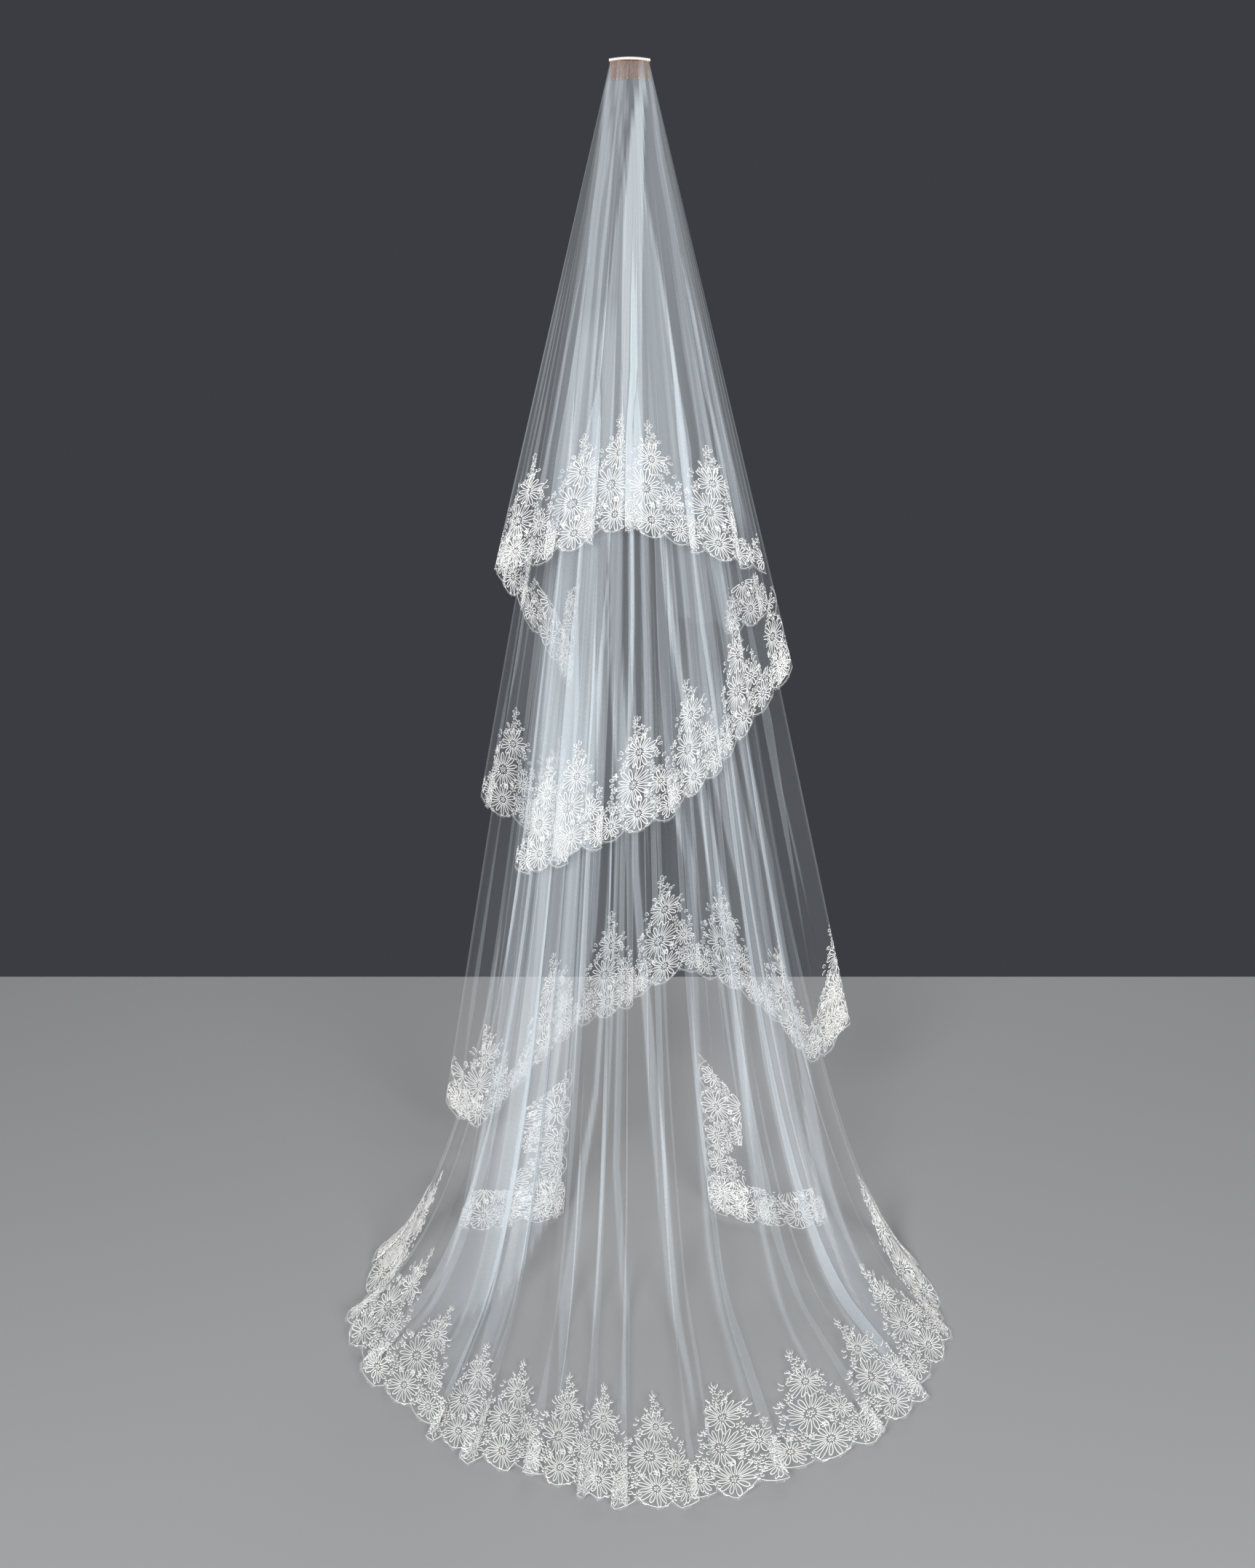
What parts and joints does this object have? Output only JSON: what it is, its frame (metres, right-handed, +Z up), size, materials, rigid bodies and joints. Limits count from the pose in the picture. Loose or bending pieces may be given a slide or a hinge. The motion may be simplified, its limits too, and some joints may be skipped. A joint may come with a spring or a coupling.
{
  "type": "bridal veil",
  "caption": "Layered bridal veil of fine net with corded lace borders, gathered on a wire hair comb and falling to a train.",
  "frame": {"origin": "middle of the comb's spine, where the wearer's hair holds the veil", "axes": "+Z up, +X along the comb to the right as seen from behind the wearer, -Y the way the train runs, away from the wearer"},
  "size_m": [1.0667, 1.4793, 2.1025],
  "materials": {
    "copper_wire": "bright copper-coloured wire",
    "thread": "white thread wound over the spine",
    "net": "sheer nylon tulle, cool white",
    "lace": "corded flower lace on net, ivory white"
  },
  "bodies": {
    "root": {"comb": "copper_wire", "comb_binding": "thread", "tier_one_net": "net", "tier_one_lace": "lace", "tier_two_net": "net", "tier_two_lace": "lace", "train_net": "net", "train_lace": "lace", "train_left_fall_net": "net", "train_left_fall_lace": "lace", "train_right_fall_net": "net", "train_right_fall_lace": "lace", "tier_one_left_fall_net": "net", "tier_one_left_fall_lace": "lace", "tier_one_right_fall_net": "net", "tier_one_right_fall_lace": "lace", "tier_two_left_fall_net": "net", "tier_two_left_fall_lace": "lace", "tier_three_net": "net", "tier_three_lace": "lace"}
  },
  "joints": []
}
